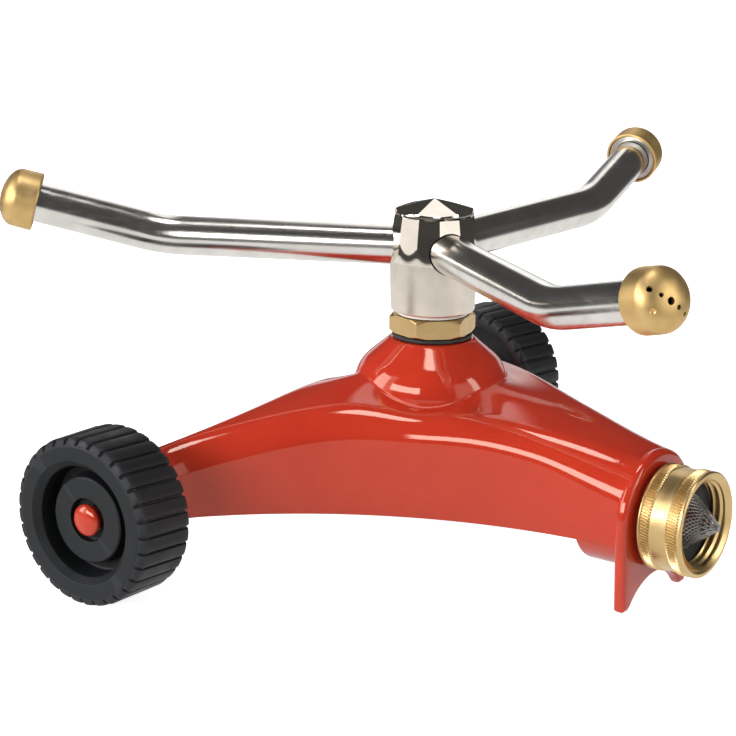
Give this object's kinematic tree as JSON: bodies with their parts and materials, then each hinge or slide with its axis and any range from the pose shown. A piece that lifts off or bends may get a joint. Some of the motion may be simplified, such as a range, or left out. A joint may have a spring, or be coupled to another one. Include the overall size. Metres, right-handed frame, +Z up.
{
  "type": "rotary sprinkler",
  "caption": "Rotary lawn sprinkler: bent steel arms with brass nozzles spin on a hub above a red cast base with wheels, a flange foot and a swivel hose coupling.",
  "frame": {"origin": "on the ground under the middle of the part's box, with the arms at the pictured angle", "axes": "+X towards the hose inlet, +Y towards the right-hand wheel, +Z up along the spindle"},
  "size_m": [0.2418, 0.2512, 0.1179],
  "materials": {
    "gloss_red": "high gloss enamel",
    "matte_black": "matte moulded",
    "bright_steel": "zinc bright",
    "brass": "machined satin",
    "black_rubber": "matte",
    "steel_gauze": "woven gauze",
    "white_nylon": "matte",
    "satin_chrome": "satin to polished",
    "brushed_steel": "brushed along the tube"
  },
  "bodies": {
    "base": {"base_casting": "gloss_red", "riser_gasket": "black_rubber", "spindle": "brass", "thrust_washer": "white_nylon", "stem_washer": "white_nylon", "spindle_nut": "bright_steel", "inlet_tailpiece": "brass", "axle_pin_left": "bright_steel", "axle_pin_right": "bright_steel", "axle_washer_left": "bright_steel", "axle_washer_right": "bright_steel", "axle_cap_left": "gloss_red", "axle_cap_right": "gloss_red"},
    "rotor": {"hub_body": "satin_chrome", "hub_bush": "white_nylon", "hub_cap": "satin_chrome", "arm_1": "brushed_steel", "arm_2": "brushed_steel", "arm_3": "brushed_steel", "nozzle_collar_1": "satin_chrome", "nozzle_collar_2": "satin_chrome", "nozzle_collar_3": "satin_chrome", "nozzle_cap_1": "brass", "nozzle_cap_2": "brass", "nozzle_cap_3": "brass"},
    "left_wheel": {"wheel_left": "matte_black"},
    "right_wheel": {"wheel_right": "matte_black"},
    "coupling": {"hose_coupling": "brass", "coupling_washer": "black_rubber", "inlet_filter": "steel_gauze"}
  },
  "joints": [
    {"name": "rotor_spin", "type": "hinge", "parent": "base", "child": "rotor", "pos_m": [-0.00208, -0.01261, 0.0976], "axis": [0, 0, 1], "continuous": true},
    {"name": "left_wheel_spin", "type": "hinge", "parent": "base", "child": "left_wheel", "pos_m": [-0.04948, -0.11481, 0.0259], "axis": [0, 1, 0], "continuous": true},
    {"name": "right_wheel_spin", "type": "hinge", "parent": "base", "child": "right_wheel", "pos_m": [-0.04948, 0.08959, 0.0259], "axis": [0, 1, 0], "continuous": true},
    {"name": "coupling_swivel", "type": "hinge", "parent": "base", "child": "coupling", "pos_m": [0.09142, -0.01261, 0.0269], "axis": [1, 0, 0], "continuous": true}
  ]
}
